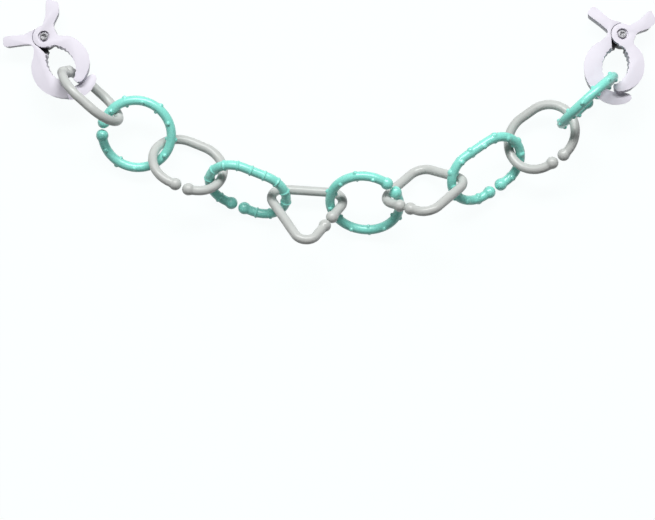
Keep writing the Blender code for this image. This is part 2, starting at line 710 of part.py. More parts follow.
def spring_slot(name, angle, side, low, high, matrix, group):
    """Slot from the spring's pocket, along the leg that leaves the coil at angle, towards side."""
    start = Vector(polar((0.0, 0.0), angle, SPRING_DIAMETER / 2))
    along = Vector((-sin(angle), cos(angle))) * side
    across = Vector((cos(angle), sin(angle))) * SPRING_SLOT_WIDTH / 2
    reach = math.sqrt(SPRING_SLOT_REACH**2 - (SPRING_DIAMETER / 2) ** 2)
    end = start + along * reach
    corners = (start - across, start + across, end + across, end - across)
    outline = [(corner.x, corner.y) for corner in corners]
    return plate(name, outline if side > 0 else outline[::-1], low, high, matrix, group)


def build_clamp(clamp, parts, cutters):
    """The two halves, the spring, the screw and the nut of a clamp, by role."""
    name = clamp.spec["name"]
    matrix = Matrix.Translation((clamp.middle[0], clamp.middle[1], clamp.height)) @ clamp.rotation.to_4x4()
    lap_low = (CLAMP_THICKNESS - LAP_CLEARANCE) / 2
    lap_high = (CLAMP_THICKNESS + LAP_CLEARANCE) / 2
    under, over = -OVERRUN, CLAMP_THICKNESS + OVERRUN
    freed = PIVOT_DISC_RADIUS + DISC_CLEARANCE
    pocket_low = (CLAMP_THICKNESS - SPRING_POCKET_HEIGHT) / 2
    pocket_high = (CLAMP_THICKNESS + SPRING_POCKET_HEIGHT) / 2
    halves = {}
    for role, outline, disc_low, disc_high in (("front_jaw", front_outline(), lap_high, CLAMP_THICKNESS),
                                               ("back_jaw", back_outline(), 0.0, lap_low)):
        half = plate(f"{name}_{role}", outline, 0.0, CLAMP_THICKNESS, matrix, parts)
        is_front = role == "front_jaw"
        free_low, free_high = (under, lap_high) if is_front else (lap_low, over)
        tool = f"{name}_{role}_"
        lap = cylinder(tool + "lap", freed, free_low, free_high, ROUND_SIDES, matrix, cutters)
        combine(half, lap, "DIFFERENCE")
        root = FRONT_LOWER_CUT if is_front else WEDGE
        combine(half, plate(tool + "root", root, free_low, free_high, matrix, cutters), "DIFFERENCE")
        step = sector_outline(*(FRONT_STEP if is_front else BACK_STEP))
        combine(half, plate(tool + "step", step, free_low, free_high, matrix, cutters), "DIFFERENCE")
        disc = cylinder(tool + "disc", PIVOT_DISC_RADIUS, disc_low, disc_high, ROUND_SIDES, matrix, cutters)
        combine(half, disc, "UNION")
        combine(half, plate(tool + "hole", hole_outline(), under, over, matrix, cutters), "DIFFERENCE")
        pocket = cylinder(tool + "pocket", SPRING_POCKET_DIAMETER / 2, pocket_low, pocket_high, ROUND_SIDES,
                          matrix, cutters)
        combine(half, pocket, "DIFFERENCE")
        angle, side = (360 * SPRING_TURNS, 1) if is_front else (0, -1)
        slot = spring_slot(tool + "slot", angle, side, pocket_low, pocket_high, matrix, cutters)
        combine(half, slot, "DIFFERENCE")
        bore = cylinder(tool + "bore", SCREW_DIAMETER / 2 + BORE_CLEARANCE, under, over, BORE_SIDES, matrix,
                        cutters)
        combine(half, bore, "DIFFERENCE")
        if is_front:
            seat_low = CLAMP_THICKNESS - COUNTERBORE_DEPTH
            seat = cylinder(tool + "seat", COUNTERBORE_DIAMETER / 2, seat_low, over, ROUND_SIDES, matrix,
                            cutters)
        else:
            seat = cylinder(tool + "seat", NUT_WIDTH / math.sqrt(3) + NUT_CLEARANCE, under,
                            NUT_THICKNESS + NUT_CLEARANCE, 6, matrix, cutters)
        combine(half, seat, "DIFFERENCE")
        finish_piece(half, "lilac_plastic")
        halves[role] = half
    spring = tube(f"{name}_spring", spring_rows(), SPRING_BEVEL_RESOLUTION, matrix, parts)
    finish_piece(spring, "steel")
    head_low = CLAMP_THICKNESS - COUNTERBORE_DEPTH + SCREW_SEAT_GAP
    head_high = head_low + SCREW_HEAD_HEIGHT
    screw = cylinder(f"{name}_screw", SCREW_HEAD_DIAMETER / 2, head_low, head_high, BORE_SIDES, matrix, parts)
    shank = cylinder(f"{name}_shank", SCREW_DIAMETER / 2, NUT_CLEARANCE, head_low + OVERRUN / 2, BORE_SIDES,
                     matrix, cutters)
    combine(screw, shank, "UNION")
    for k, angle in enumerate((45, 135)):
        half_length, half_width = SCREW_RECESS_LENGTH / 2, SCREW_RECESS_WIDTH / 2
        corners = [(-half_length, -half_width), (half_length, -half_width), (half_length, half_width),
                   (-half_length, half_width)]
        outline = [(x * cos(angle) - y * sin(angle), x * sin(angle) + y * cos(angle)) for x, y in corners]
        recess = plate(f"{name}_recess_{k}", outline, head_high - SCREW_RECESS_DEPTH, over, matrix, cutters)
        combine(screw, recess, "DIFFERENCE")
    finish_piece(screw, "steel")
    nut = cylinder(f"{name}_nut", NUT_WIDTH / math.sqrt(3), 0.0, NUT_THICKNESS, 6, matrix, parts)
    thread = cylinder(f"{name}_thread", SCREW_DIAMETER / 2 + BORE_CLEARANCE, under, over, BORE_SIDES, matrix,
                      cutters)
    combine(nut, thread, "DIFFERENCE")
    finish_piece(nut, "steel")
    return {**halves, "spring": spring, "screw": screw, "nut": nut, "matrix": matrix}


def joint_empty(name, matrix, parent, group):
    """Empty on a joint's axis, which is its own Z axis."""
    empty = bpy.data.objects.new(name, None)
    group.objects.link(empty)
    if parent:
        empty.parent = parent
    empty.matrix_world = matrix
    bpy.context.view_layer.update()
    return empty


def hang(piece, parent):
    """Parents a piece without moving it."""
    piece.parent = parent
    piece.matrix_parent_inverse = parent.matrix_world.inverted()


def say_joint(name, matrix):
    place, axis = matrix.translation, matrix.to_3x3() @ Vector((0.0, 0.0, 1.0))
    print("JOINT", name, [round(v, 5) for v in place], [round(v, 5) for v in axis])


def main():
    clear_scene()
    parts = collection("pram_chain_toy")
    cutters = collection("cutters")
    left, right = Clamp(LEFT_CLAMP), Clamp(RIGHT_CLAMP)
    links = [Link(spec) for spec in LINKS]
    row = [left] + links + [right]
    hinges = [draw_taut(first, second) for first, second in zip(row, row[1:])]

    # The whole row moves so that the middle of its box in plan is the origin
    clamp_corners = np.array([(x, y, z) for x, y in front_outline() + back_outline()
                              for z in (0.0, CLAMP_THICKNESS)])
    corners = np.vstack([clamp.world(clamp_corners, clamp.middle)[:, :2] for clamp in (left, right)]
                        + [link.placed(link.middle)[:, :2] + side * link.beads[:, 3:] for link in links
                           for side in (-1, 1)])
    shift = (corners.min(axis=0) + corners.max(axis=0)) / 2
    for piece in row:
        piece.middle = piece.middle - shift
    hinges = [hinge - shift for hinge in hinges]
    print("SHIFT", shift)

    left_pieces = build_clamp(left, parts, cutters)
    right_pieces = build_clamp(right, parts, cutters)
    root = joint_empty("left_clamp_body", left_pieces["matrix"], None, parts)
    left_pivot = joint_empty("left_jaw_pivot", left_pieces["matrix"], root, parts)
    say_joint("left_jaw", left_pieces["matrix"])
    for role in ("back_jaw", "spring", "screw", "nut"):
        hang(left_pieces[role], root)
    hang(left_pieces["front_jaw"], left_pivot)
    carrier = root
    for link, hinge in zip(links, hinges):
        matrix = Matrix.Translation((hinge[0], hinge[1], link.height))
        carrier = joint_empty(f"swing_{link.spec['name']}", matrix, carrier, parts)
        say_joint(f"swing_{link.spec['name']}", matrix)
        hang(build_link(link, parts, cutters), carrier)
    matrix = Matrix.Translation((hinges[-1][0], hinges[-1][1], right.height))
    carrier = joint_empty("swing_right_clamp", matrix, carrier, parts)
    say_joint("swing_right_clamp", matrix)
    right_pivot = joint_empty("right_jaw_pivot", right_pieces["matrix"], carrier, parts)
    say_joint("right_jaw", right_pieces["matrix"])
    for role in ("back_jaw", "spring", "screw", "nut"):
        hang(right_pieces[role], carrier)
    hang(right_pieces["front_jaw"], right_pivot)
    bpy.context.view_layer.update()
    print("SPRING SELF GAP mm", round(spring_self_gap() * 1000, 3))


main()
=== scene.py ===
"""Looks of the pram chain toy: moulded links, sprung clamps, pale floor, soft light, camera above."""

import json
import math

import bmesh
import bpy
import numpy as np
from mathutils import Matrix, Vector


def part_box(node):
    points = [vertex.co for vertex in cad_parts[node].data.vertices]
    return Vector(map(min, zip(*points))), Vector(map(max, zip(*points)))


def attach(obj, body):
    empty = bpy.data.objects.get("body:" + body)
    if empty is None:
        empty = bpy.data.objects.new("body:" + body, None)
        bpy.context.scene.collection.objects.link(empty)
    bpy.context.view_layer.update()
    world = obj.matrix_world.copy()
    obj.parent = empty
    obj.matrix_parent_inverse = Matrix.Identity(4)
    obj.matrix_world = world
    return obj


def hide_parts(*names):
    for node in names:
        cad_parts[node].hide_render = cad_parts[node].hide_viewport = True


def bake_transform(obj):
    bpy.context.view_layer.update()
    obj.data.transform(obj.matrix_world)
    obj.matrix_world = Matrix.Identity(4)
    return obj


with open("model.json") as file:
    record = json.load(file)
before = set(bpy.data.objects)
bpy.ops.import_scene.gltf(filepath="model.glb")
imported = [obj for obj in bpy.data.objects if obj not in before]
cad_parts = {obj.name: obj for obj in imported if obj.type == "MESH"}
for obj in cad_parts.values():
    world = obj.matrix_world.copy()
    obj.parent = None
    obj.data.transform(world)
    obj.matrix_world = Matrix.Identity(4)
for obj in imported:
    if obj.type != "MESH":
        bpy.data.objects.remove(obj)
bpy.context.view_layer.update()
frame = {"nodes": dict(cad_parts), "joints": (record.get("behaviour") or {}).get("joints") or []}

FULL_TURN = 360.0
QUARTER_TURN = 90.0

# Links, in metres and degrees, with the sizes of the CAD model
WIRE_DIAMETER = 0.0066
BALL_DIAMETER = 0.0087
MOUTH_GAP = 0.0011
RING_DIAMETER = 0.0488
GREY_OVAL_LENGTH = 0.0506
GREY_OVAL_WIDTH = 0.0405
TEAL_OVAL_LENGTH = 0.0560
TEAL_OVAL_WIDTH = 0.0385
TRIANGLE_WIDTH = 0.0498
TRIANGLE_CORNER_RADIUS = 0.0084
SQUARE_SIDE = 0.0445
SQUARE_CORNER_RADIUS = 0.0103
BUMP_DIAMETER = 0.0031
BUMP_HEIGHT = 0.0012
BUMP_STEP = 0.01235

# Domes and ribs, a little bolder than in the CAD model, so that they show from above
DOME_DIAMETER = 0.0050
DOME_HEIGHT = 0.0010
DOME_STEP = 0.0096
RIB_HEIGHT = 0.0006
RIB_WIDTH = 0.0009
RIB_SLOPE = 0.0002
RIB_STEP = 0.0096

# How finely the links are drawn, and how wide the fillets of their necks and reliefs are
OUTLINE_SAMPLES = 1440
ARC_SAMPLES = 360
WIRE_STEP = 0.0006
WIRE_SIDES = 40
RELIEF_STEP = 0.00035
RELIEF_SIDES = 56
NECK_FILLET = 0.0007
RELIEF_FILLET = 0.00022
POLE_ROWS = 14

# Each link: its outline, relief, colour and body, and how it lies, as in the CAD model
LINKS = (
    dict(name="link_1_grey_oval", body="link_1", outline="grey_oval", relief=None,
         material="grey_plastic", heading=-42.0, turn=0.0, roll=-73.0, pitch=0.0, mouth=172.0),
    dict(name="link_2_bumped_ring", body="link_2", outline="ring", relief="bumps",
         material="teal_plastic", heading=-42.0, turn=0.0, roll=17.0, pitch=-7.0, mouth=215.0),
    dict(name="link_3_grey_oval", body="link_3", outline="grey_oval", relief=None,
         material="grey_plastic", heading=-20.5, turn=-2.0, roll=-39.0, pitch=2.0, mouth=-82.0),
    dict(name="link_4_ribbed_oval", body="link_4", outline="teal_oval", relief="ribs",
         material="teal_plastic", heading=-24.5, turn=4.5, roll=47.5, pitch=-7.0, mouth=-95.0),
    dict(name="link_5_grey_triangle", body="link_5", outline="triangle", relief=None,
         material="grey_plastic", heading=-3.0, turn=-1.0, roll=-41.0, pitch=-2.5, mouth=-30.0),
    dict(name="link_6_bumped_ring", body="link_6", outline="ring", relief="bumps",
         material="teal_plastic", heading=-6.0, turn=0.0, roll=41.0, pitch=2.5, mouth=42.5),
    dict(name="link_7_grey_square", body="link_7", outline="square", relief=None,
         material="grey_plastic", heading=16.5, turn=-7.0, roll=-57.5, pitch=-4.0, mouth=-135.0),
    dict(name="link_8_domed_oval", body="link_8", outline="teal_oval", relief="domes",
         material="teal_plastic", heading=36.0, turn=-2.0, roll=39.0, pitch=-8.0, mouth=-91.0),
    dict(name="link_9_grey_oval", body="link_9", outline="grey_oval", relief=None,
         material="grey_plastic", heading=31.0, turn=4.5, roll=-20.0, pitch=12.0, mouth=-86.0),
    dict(name="link_10_bumped_ring", body="link_10", outline="ring", relief="bumps",
         material="teal_plastic", heading=42.0, turn=-4.5, roll=87.0, pitch=-4.0, mouth=-70.0),
)

# Clamps: their turn in plan, and the tilt that raises their jaws
CLAMPS = (
    dict(name="left_clamp", joint="left_jaw_open", turn=32.0, tilt=13.0,
         still="left_clamp", moving="left_jaw"),
    dict(name="right_clamp", joint="right_jaw_open", turn=-13.4, tilt=17.0,
         still="right_clamp", moving="right_jaw"),
)
CLAMP_THICKNESS = 0.0110
HOLE_LENGTH = 0.0290
HOLE_MIDDLE = (0.0001, -0.0233)

# Lean of the clamps' outer walls, which the pivot and the hole between the jaws are free of
CLAMP_DRAFT = 0.0016
DRAFT_FREE_RADIUS = 0.0095
DRAFT_LIMIT_SHARE = 1.5
WALL_NORMAL_LIMIT = 0.1

# Rounded edges, and the angles up to which faces merge, edges stay unrounded and shading stays smooth
CLAMP_EDGE = 0.0006
CLAMP_EDGE_SEGMENTS = 3
FASTENER_EDGE = 0.0002
MERGE_DISTANCE = 0.000002
FLAT_ANGLE = 1.0
EDGE_ANGLE = 32.0
SMOOTH_ANGLE = 40.0

# Torsion spring round the pivot, and the reach either side of its middle of the places that twist_end gives
SPRING_WIRE_DIAMETER = 0.0009
SPRING_DIAMETER = 0.0084
SPRING_PITCH = 0.00135
SPRING_TURNS = 2.5
SPRING_LEG_LENGTH = 0.0046
SPRING_POINTS_PER_TURN = 36
SPRING_ROUNDING = 4
SPRING_TWIST_REACH = 0.0012

# Painted shade in the recess between a clamp's halves, where shade falls: middle and half size of its box in
# the clamp's own frame, its dark colour and its soft edge
PAINTED_SHADE_BOX = ((-0.0010, -0.0047, 0.0030), (0.0088, 0.0058, 0.0050))
PAINTED_SHADE_COLOUR = (0.03, 0.03, 0.035)
PAINTED_SHADE_EDGE_SHARES = (1.05, 0.95)

# Plastics, each with a colour and the shade that its flow marks drift to, and for the clamps a box where the
# recess's shade is painted into the colour
PLASTICS = (
    dict(name="teal_plastic", colour=(0.31, 0.89, 0.77), shade=(0.27, 0.84, 0.72), roughness=0.28, gloss=0.8),
    dict(name="grey_plastic", colour=(0.61, 0.63, 0.61), shade=(0.57, 0.59, 0.57), roughness=0.31, gloss=0.5),
    dict(name="clamp_plastic", colour=(0.77, 0.74, 0.82), shade=(0.74, 0.71, 0.79), roughness=0.46,
         gloss=0.30, painted_shade_box=PAINTED_SHADE_BOX),
)

# Metals
METALS = (
    dict(name="screw_steel", colour=(0.20, 0.20, 0.21), roughness=0.40),
    dict(name="spring_wire", colour=(0.55, 0.55, 0.57), roughness=0.28),
)

# Noises, each with its scale and detail, and the part of their range that is used
FLOW_NOISE = (90.0, 2.0)
SCUFF_NOISE = (700.0, 4.0)
SKIN_NOISE = (1200.0, 2.0)
PATCH_NOISE = (500.0, 4.0)
NOISE_RANGE = (0.3, 0.7)

# What scuffs and dull patches take from the roughness and add to it, and how dark the patches are
SCUFF_ROUGHNESS = (-0.04, 0.05)
PATCH_ROUGHNESS = (-0.05, 0.12)
PATCH_COLOUR_SHARE = 0.8

# Uneven skin of the plastics and turning marks of the metals
SKIN_STRENGTH = 0.05
TURNING_STRENGTH = 0.1
TURNING_SCALE = 2500.0
TURNING_DISTORTION = 2.0
SURFACE_DEPTH = 0.00005

# Floor and world
FLOOR_SIZE = 8.0
FLOOR_COLOUR = (0.24, 0.25, 0.25)
FLOOR_ROUGHNESS = 0.9
FLOOR_GLOSS = 0.1
FLOOR_GLOW_SHARE = 0.82
FLOOR_GLOW_COLOUR = (0.97, 1.0, 1.0)
FLOOR_GLOW_STRENGTH = 1.18
WORLD_COLOUR = (0.97, 0.99, 1.0)
WORLD_STRENGTH = 0.12

# Soft lights, all aimed at one place
LIGHT_TARGET = (0.0, -0.03, 0.0)
LIGHTS = (
    dict(name="key", place=(-0.1, 1.44, 1.66), width=2.2, height=0.5, power=57.0),
    dict(name="fill", place=(0.3, -1.2, 2.2), width=1.2, height=1.2, power=2.0),
)

# Camera, straight above, with the picture's width at the chain's height
CAMERA_DISTANCE = 4.0
CAMERA_CENTRE = (-0.0014, -0.0967)
CAMERA_CLIP_END = 100.0
CHAIN_HEIGHT = 0.018
VIEW_WIDTH = 0.4575
SENSOR_WIDTH = 36.0


def cos(angle):
    return math.cos(math.radians(angle))


def sin(angle):
    return math.sin(math.radians(angle))


def polar(centre, angle, radius):
    return (centre[0] + radius * cos(angle), centre[1] + radius * sin(angle))


def turned(angle, axis):
    return Matrix.Rotation(math.radians(angle), 4, axis)


# Outlines of the links

def even_samples(points):
    """The same closed outline with its points spaced evenly along it."""
    closed = np.vstack([points, points[:1]])
    lengths = np.concatenate([[0.0], np.cumsum(np.linalg.norm(np.diff(closed, axis=0), axis=1))])
    stations = np.linspace(0.0, lengths[-1], OUTLINE_SAMPLES, endpoint=False)
    return np.column_stack([np.interp(stations, lengths, closed[:, k]) for k in (0, 1)])


def hull_of_arcs(centres, radius):
    """Outline round equal circles, with arcs at the circles and straight runs between them."""
    points = []
    count = len(centres)
    for i, centre in enumerate(centres):
        before = np.subtract(centre, centres[i - 1])
        after = np.subtract(centres[(i + 1) % count], centre)
        first = math.degrees(math.atan2(before[1], before[0])) - QUARTER_TURN
        last = math.degrees(math.atan2(after[1], after[0])) - QUARTER_TURN
        while last < first:
            last += FULL_TURN
        points += [polar(centre, angle, radius) for angle in np.linspace(first, last, ARC_SAMPLES)]
    return even_samples(np.array(points))


def link_outline(kind):
    if kind == "ring":
        angles = np.linspace(0, FULL_TURN, OUTLINE_SAMPLES, endpoint=False)
        return np.array([polar((0.0, 0.0), angle, RING_DIAMETER / 2) for angle in angles])
    if kind == "triangle":
        half = TRIANGLE_WIDTH / 2 - TRIANGLE_CORNER_RADIUS
        height = half * math.sqrt(3)
        corners = [(-half, height / 3), (0.0, -height * 2 / 3), (half, height / 3)]
        return hull_of_arcs(corners, TRIANGLE_CORNER_RADIUS)
    if kind == "square":
        reach = (SQUARE_SIDE / 2 - SQUARE_CORNER_RADIUS) * math.sqrt(2)
        corners = [(-reach, 0.0), (0.0, -reach), (reach, 0.0), (0.0, reach)]
        return hull_of_arcs(corners, SQUARE_CORNER_RADIUS)
    length, width = {"grey_oval": (GREY_OVAL_LENGTH, GREY_OVAL_WIDTH),
                     "teal_oval": (TEAL_OVAL_LENGTH, TEAL_OVAL_WIDTH)}[kind]
    reach = (length - width) / 2
    return hull_of_arcs([(-reach, 0.0), (reach, 0.0)], width / 2)


class Wire:
    """The middle line of one link in its own plane, measured by arc length from the middle of its mouth."""

    def __init__(self, link):
        points = link_outline(link["outline"])
        facing = np.array([cos(link["mouth"]), sin(link["mouth"])])
        toward = points @ facing
        across = points @ np.array([-facing[1], facing[0]])
        start = int(np.argmin(np.where(toward > 0, np.abs(across), np.inf)))
        self.points = np.vstack([np.roll(points, -start, axis=0), points[start]])
        self.steps = np.linalg.norm(np.diff(self.points, axis=0), axis=1)
        self.lengths = np.concatenate([[0.0], np.cumsum(self.steps)])
        self.length = self.lengths[-1]

    def point(self, s):
        return np.array([np.interp(s % self.length, self.lengths, self.points[:, k]) for k in (0, 1)])

    def outward(self, s):
        forward = self.point(s + self.steps[0]) - self.point(s - self.steps[0])
        outward = np.array([forward[1], -forward[0]]) / np.linalg.norm(forward)
        return outward if outward @ self.point(s) > 0 else -outward


# Meshes of the links

def spread_along(wire, step):
    """Arc lengths of the middles of a relief, evenly spaced between the ball ends."""
    first = MOUTH_GAP / 2 + BALL_DIAMETER
    run = wire.length - 2 * first
    count = round(run / step)
    return [first + run * (i + 0.5) / count for i in range(count)]


def relief_balls(wire, relief):
    """Arc length, place across the plane, place out of it and radius of each ball of a bump or dome."""
    if relief == "bumps":
        step, height, radius = BUMP_STEP, BUMP_HEIGHT, BUMP_DIAMETER / 2
    elif relief == "domes":
        step, height, radius = DOME_STEP, DOME_HEIGHT, DOME_DIAMETER / 2
    else:
        return []
    sink = WIRE_DIAMETER / 2 + height - radius
    middles = spread_along(wire, step)
    balls = []
    for i, s in enumerate(middles):
        for side in (-sink, sink):
            if (i - len(middles) // 2) % 2:
                balls.append((s, 0.0, side, radius))
            else:
                balls.append((s, side, 0.0, radius))
    return balls


def smooth_step(share):
    share = np.clip(share, 0.0, 1.0)
    return share * share * (3 - 2 * share)


def smooth_max(a, b, fillet):
    """The larger of two heights, with the corner between them filled over a fillet's width."""
    share = np.clip(0.5 + 0.5 * (a - b) / fillet, 0.0, 1.0)
    return b + (a - b) * share + fillet * share * (1 - share)


def wire_radii(wire, stations, relief):
    """Radius of the wire at each station: its ball ends, their necks and its ribs."""
    ball, plain = BALL_DIAMETER / 2, WIRE_DIAMETER / 2
    from_pole = np.minimum(stations, wire.length - stations) - MOUTH_GAP / 2
    profile = np.sqrt(np.clip(ball**2 - (from_pole - ball) ** 2, 0.0, None))
    necked = smooth_max(profile, np.full_like(profile, plain), NECK_FILLET)
    radii = np.where(from_pole > ball, necked, profile)
    if relief == "ribs":
        for middle in spread_along(wire, RIB_STEP):
            beyond = np.abs(stations - middle) - RIB_WIDTH / 2
            radii += RIB_HEIGHT * smooth_step(1 - beyond / RIB_SLOPE)
    return radii


def wire_heights(wire, stations, relief, across, above):
    """Distance of every point of the tube from the wire's middle line, bumps and domes included."""
    radii = wire_radii(wire, stations, relief)
    heights = np.repeat(radii[:, None], len(across), axis=1)
    for s, side, up, radius in relief_balls(wire, relief):
        near = np.abs(stations - s) < 2 * radius
        along = (stations[near] - s)[:, None]
        toward = side * across + up * above
        aside = (side**2 + up**2) - toward**2
        reach = radius**2 - along**2 - aside[None, :]
        top = np.where(toward[None, :] > 0, toward[None, :] + np.sqrt(np.clip(reach, 0.0, None)), 0.0)
        top = np.where(reach > 0, top, 0.0)
        heights[near] = smooth_max(top, heights[near], RELIEF_FILLET)
    return heights


def tube_faces(count, sides):
    """Faces of a tube of rows of points, closed at each end by one more point that comes after all rows."""
    first_end, last_end = count * sides, count * sides + 1
    faces = []
    for i in range(count - 1):
        for k in range(sides):
            after = (k + 1) % sides
            faces.append((i * sides + k, i * sides + after, (i + 1) * sides + after, (i + 1) * sides + k))
    for k in range(sides):
        after = (k + 1) % sides
        faces.append((first_end, after, k))
        faces.append((last_end, (count - 1) * sides + k, (count - 1) * sides + after))
    return faces


def wire_mesh(link):
    """Closed tube of one link round the origin, in its own plane."""
    wire = Wire(link)
    fine = link["relief"] is not None
    step, sides = (RELIEF_STEP, RELIEF_SIDES) if fine else (WIRE_STEP, WIRE_SIDES)
    ball, pole = BALL_DIAMETER / 2, MOUTH_GAP / 2
    cap = [pole + ball * (1 - cos(QUARTER_TURN * i / POLE_ROWS)) for i in range(1, POLE_ROWS)]
    rows_between = round((wire.length - 2 * pole - 2 * ball) / step)
    run = np.linspace(pole + ball, wire.length - pole - ball, rows_between)
    stations = np.concatenate([cap, run, [wire.length - s for s in cap[::-1]]])
    centres = np.array([wire.point(s) for s in stations])
    outward = np.array([wire.outward(s) for s in stations])
    angles = np.linspace(0, 2 * math.pi, sides, endpoint=False)
    across, above = np.cos(angles), np.sin(angles)
    heights = wire_heights(wire, stations, link["relief"], across, above)
    flat = centres[:, None, :] + outward[:, None, :] * (heights * across)[:, :, None]
    rows = np.concatenate([flat, (heights * above)[:, :, None]], axis=2)
    vertices = [tuple(point) for point in rows.reshape(-1, 3)]
    ends = [(*wire.point(pole), 0.0), (*wire.point(wire.length - pole), 0.0)]
    mesh = bpy.data.meshes.new(link["name"] + "_shape")
    mesh.from_pydata(vertices + ends, [], tube_faces(len(stations), sides))
    shape = bmesh.new()
    shape.from_mesh(mesh)
    bmesh.ops.recalc_face_normals(shape, faces=shape.faces)
    shape.to_mesh(mesh)
    shape.free()
    mesh.shade_smooth()
    return mesh


def link_rotation(link):
    return (turned(link["heading"], "Z") @ turned(-link["pitch"], "Y")
            @ turned(link["roll"], "X") @ turned(link["turn"], "Z"))


def place_on_node(mesh, rotation, node):
    """Turns a mesh and moves it, so that the middle of its box is the middle of its CAD node's box."""
    mesh.transform(rotation)
    places = np.array([vertex.co for vertex in mesh.vertices])
    own_middle = Vector((places.min(axis=0) + places.max(axis=0)) / 2)
    low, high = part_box(node)
    mesh.transform(Matrix.Translation((low + high) / 2 - own_middle))


def add_object(name, data, matrix=None):
    made = bpy.data.objects.new(name, data)
    bpy.context.scene.collection.objects.link(made)
    if matrix is not None:
        made.matrix_world = matrix
    return made


# Materials

def shader_material(name, colour, roughness):
    made = bpy.data.materials.new(name)
    made.use_nodes = True
    shader = made.node_tree.nodes["Principled BSDF"]
    shader.inputs["Base Color"].default_value = (*colour, 1.0)
    shader.inputs["Roughness"].default_value = roughness
    return made, made.node_tree.nodes, made.node_tree.links, shader


def add_node(nodes, kind, **settings):
    node = nodes.new(kind)
    for name, value in settings.items():
        setattr(node, name, value)
    return node


def noise(nodes, links, coordinates, scale, detail):
    node = add_node(nodes, "ShaderNodeTexNoise")
    node.inputs["Scale"].default_value = scale
    node.inputs["Detail"].default_value = detail
    links.new(coordinates, node.inputs["Vector"])
    return node.outputs["Fac"]


def ramp(nodes, links, source, low, high):
    """Passes a noise through a colour ramp from low to high."""
    node = add_node(nodes, "ShaderNodeValToRGB")
    for element, position, colour in zip(node.color_ramp.elements, NOISE_RANGE, (low, high)):
        element.position = position
        element.color = (*colour, 1.0)
    links.new(source, node.inputs["Fac"])
    return node.outputs["Color"]


def map_range(nodes, links, source, before, after):
    """Passes a value on, so that one range becomes another."""
    node = add_node(nodes, "ShaderNodeMapRange")
    for name, value in zip(("From Min", "From Max", "To Min", "To Max"), (*before, *after)):
        node.inputs[name].default_value = value
    links.new(source, node.inputs["Value"])
    return node.outputs["Result"]


def vary_roughness(nodes, links, source, roughness, offsets, shader):
    """Lets a noise move a shader's roughness between two offsets from its own."""
    after = (roughness + offsets[0], roughness + offsets[1])
    links.new(map_range(nodes, links, source, NOISE_RANGE, after), shader.inputs["Roughness"])


def add_bump(nodes, links, height, strength, shader):
    bump = add_node(nodes, "ShaderNodeBump")
    bump.inputs["Strength"].default_value = strength
    bump.inputs["Distance"].default_value = SURFACE_DEPTH
    links.new(height, bump.inputs["Height"])
    links.new(bump.outputs["Normal"], shader.inputs["Normal"])


def inside_box(nodes, links, coordinates, middle, half_size):
    """1 inside a box of the object's own space and 0 outside it, with a soft edge."""
    shares = coordinates
    for operation, values in (("SUBTRACT", middle), ("ABSOLUTE", None), ("DIVIDE", half_size)):
        step = add_node(nodes, "ShaderNodeVectorMath", operation=operation)
        links.new(shares, step.inputs[0])
        if values is not None:
            step.inputs[1].default_value = values
        shares = step.outputs[0]
    parts = add_node(nodes, "ShaderNodeSeparateXYZ")
    links.new(shares, parts.inputs[0])
    largest = parts.outputs["X"]
    for name in ("Y", "Z"):
        step = add_node(nodes, "ShaderNodeMath", operation="MAXIMUM")
        links.new(largest, step.inputs[0])
        links.new(parts.outputs[name], step.inputs[1])
        largest = step.outputs[0]
    return map_range(nodes, links, largest, PAINTED_SHADE_EDGE_SHARES, (0.0, 1.0))


def plastic(name, colour, shade, roughness, gloss, painted_shade_box=None):
    """Moulded plastic: faint flow marks in its colour, fine scuffs in its gloss and an uneven skin.

    The last argument, if given, is the middle and half size of a recess box whose shade is painted in as a
    dark colour.
    """
    made, nodes, links, shader = shader_material(name, colour, roughness)
    coordinates = add_node(nodes, "ShaderNodeTexCoord").outputs["Object"]
    tint = ramp(nodes, links, noise(nodes, links, coordinates, *FLOW_NOISE), shade, colour)
    # Painted shade: the recess between a clamp's halves is darkened in the base colour, where the real recess
    # only lies in shade
    if painted_shade_box is not None:
        paint_shade = add_node(nodes, "ShaderNodeMix", data_type="RGBA")
        links.new(inside_box(nodes, links, coordinates, *painted_shade_box), paint_shade.inputs["Factor"])
        links.new(tint, paint_shade.inputs["A"])
        paint_shade.inputs["B"].default_value = (*PAINTED_SHADE_COLOUR, 1.0)
        tint = paint_shade.outputs["Result"]
    links.new(tint, shader.inputs["Base Color"])
    scuffs = noise(nodes, links, coordinates, *SCUFF_NOISE)
    vary_roughness(nodes, links, scuffs, roughness, SCUFF_ROUGHNESS, shader)
    add_bump(nodes, links, noise(nodes, links, coordinates, *SKIN_NOISE), SKIN_STRENGTH, shader)
    shader.inputs["Specular IOR Level"].default_value = gloss
    return made


def metal(name, colour, roughness):
    """Plated steel with fine turning marks and a few dull patches."""
    made, nodes, links, shader = shader_material(name, colour, roughness)
    shader.inputs["Metallic"].default_value = 1.0
    coordinates = add_node(nodes, "ShaderNodeTexCoord").outputs["Object"]
    patches = noise(nodes, links, coordinates, *PATCH_NOISE)
    dull = tuple(PATCH_COLOUR_SHARE * channel for channel in colour)
    links.new(ramp(nodes, links, patches, dull, colour), shader.inputs["Base Color"])
    vary_roughness(nodes, links, patches, roughness, PATCH_ROUGHNESS, shader)
    marks = add_node(nodes, "ShaderNodeTexWave", wave_type="RINGS", rings_direction="Z")
    marks.inputs["Scale"].default_value = TURNING_SCALE
    marks.inputs["Distortion"].default_value = TURNING_DISTORTION
    links.new(coordinates, marks.inputs["Vector"])
    add_bump(nodes, links, marks.outputs["Fac"], TURNING_STRENGTH, shader)
    return made


MATERIALS = {look["name"]: plastic(**look) for look in PLASTICS}
MATERIALS.update({look["name"]: metal(**look) for look in METALS})


# Links

for link in LINKS:
    piece = add_object(link["name"] + "_moulded", wire_mesh(link))
    place_on_node(piece.data, link_rotation(link), link["name"])
    piece.data.materials.append(MATERIALS[link["material"]])
    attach(piece, link["body"])
    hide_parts(link["name"])


# Clamps

